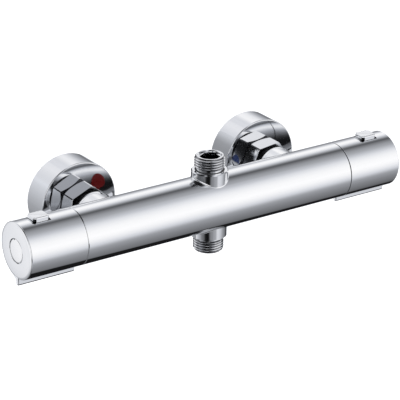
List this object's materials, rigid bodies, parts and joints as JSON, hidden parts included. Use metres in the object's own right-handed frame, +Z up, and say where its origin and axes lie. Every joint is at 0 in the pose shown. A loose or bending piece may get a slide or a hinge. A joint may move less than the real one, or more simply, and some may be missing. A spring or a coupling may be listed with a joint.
{
  "type": "thermostatic shower valve",
  "caption": "Exposed thermostatic shower valve: a round chromed bar with a finned knob and push button at each end, wall unions behind it and threaded outlets above and below its middle.",
  "frame": {"origin": "on the finished wall plane, midway between the two inlets, level with the axis of the bar", "axes": "+X along the bar from the hot (flow) end to the cold (temperature) end, +Y into the wall, +Z up; the user stands at -Y"},
  "size_m": [0.3, 0.1025, 0.0686],
  "materials": {
    "chrome": "polished",
    "chrome_cap": "satin",
    "red_mark": "gloss",
    "blue_mark": "gloss",
    "brass": "machined",
    "seal": "matt",
    "steel": "drawn",
    "cage_plastic": "moulded",
    "poppet_plastic": "moulded",
    "stop_plastic": "moulded",
    "ceramic": "lapped ceramic",
    "sleeve_plastic": "moulded",
    "copper": "drawn copper"
  },
  "bodies": {
    "valve": {"body": "chrome", "hot_marker": "red_mark", "cold_marker": "blue_mark", "top_nipple": "chrome", "bottom_nipple": "chrome", "nipple_gaskets": "seal", "hot_tailpiece": "chrome", "cold_tailpiece": "chrome", "hot_union_nut": "chrome", "cold_union_nut": "chrome", "inlet_washers": "seal", "inlet_strainers": "steel", "hot_check_cage": "cage_plastic", "cold_check_cage": "cage_plastic", "hot_check_spring": "steel", "cold_check_spring": "steel", "check_cage_seals": "seal", "hot_wall_union": "brass", "cold_wall_union": "brass", "hot_wall_cover": "chrome", "cold_wall_cover": "chrome", "flow_stop_ring": "stop_plastic", "flow_headpart": "brass", "flow_headpart_seal": "seal", "flow_fixed_disc": "ceramic", "flow_base_seal": "seal", "temp_stop_ring": "stop_plastic", "temp_headpart": "brass", "temp_headpart_seal": "seal", "thermostat_sleeve": "sleeve_plastic", "thermostat_seals": "seal", "cold_seat_ring": "brass", "return_spring": "steel"},
    "flow_handle": {"flow_knob": "chrome", "flow_cap": "chrome_cap", "flow_screw": "steel", "flow_spindle": "brass", "flow_spindle_seal": "seal", "flow_moving_disc": "ceramic", "flow_button_spring": "steel"},
    "flow_push": {"flow_button": "chrome"},
    "temp_handle": {"temp_knob": "chrome", "temp_cap": "chrome_cap", "temp_screw": "steel", "temp_spindle": "brass", "temp_spindle_seal": "seal", "temp_button_spring": "steel"},
    "temp_push": {"temp_button": "chrome"},
    "regulator": {"regulating_nut": "brass", "overload_cup": "steel", "overload_spring": "steel", "overload_ring": "steel", "piston": "steel"},
    "thermo_shuttle": {"shuttle": "brass", "shuttle_seal": "seal", "wax_element": "copper"},
    "hot_poppet": {"hot_check_poppet": "poppet_plastic"},
    "cold_poppet": {"cold_check_poppet": "poppet_plastic"}
  },
  "joints": [
    {"name": "flow_turn", "type": "hinge", "parent": "valve", "child": "flow_handle", "pos_m": [-0.128, -0.065, 0], "axis": [1, 0, 0], "range_deg": [-90, 90]},
    {"name": "flow_button_press", "type": "slide", "parent": "flow_handle", "child": "flow_push", "axis": [0, 0, -1], "range_m": [0, 0.002], "stiffness_N_per_m": 600, "springref_m": -0.001, "deforming": ["flow_button_spring"]},
    {"name": "temp_turn", "type": "hinge", "parent": "valve", "child": "temp_handle", "pos_m": [0.128, -0.065, 0], "axis": [1, 0, 0], "range_deg": [-210, 75]},
    {"name": "temp_button_press", "type": "slide", "parent": "temp_handle", "child": "temp_push", "axis": [0, 0, -1], "range_m": [0, 0.002], "stiffness_N_per_m": 600, "springref_m": -0.001, "deforming": ["temp_button_spring"]},
    {"name": "nut_travel", "type": "slide", "parent": "valve", "child": "regulator", "axis": [1, 0, 0], "range_m": [-0.00105, 0.0004], "deforming": ["return_spring"]},
    {"name": "wax_stroke", "type": "slide", "parent": "regulator", "child": "thermo_shuttle", "axis": [1, 0, 0], "range_m": [-0.0006, 0], "stiffness_N_per_m": 1500, "springref_m": 0.001, "deforming": ["return_spring"]},
    {"name": "hot_poppet_lift", "type": "slide", "parent": "valve", "child": "hot_poppet", "axis": [0, -1, 0], "range_m": [0, 0.0025], "stiffness_N_per_m": 60, "springref_m": -0.002, "deforming": ["hot_check_spring"]},
    {"name": "cold_poppet_lift", "type": "slide", "parent": "valve", "child": "cold_poppet", "axis": [0, -1, 0], "range_m": [0, 0.0025], "stiffness_N_per_m": 60, "springref_m": -0.002, "deforming": ["cold_check_spring"]}
  ],
  "couplings": [
    {"joint": "nut_travel", "follows": "temp_turn", "m_per_rad": 0.00027852}
  ]
}
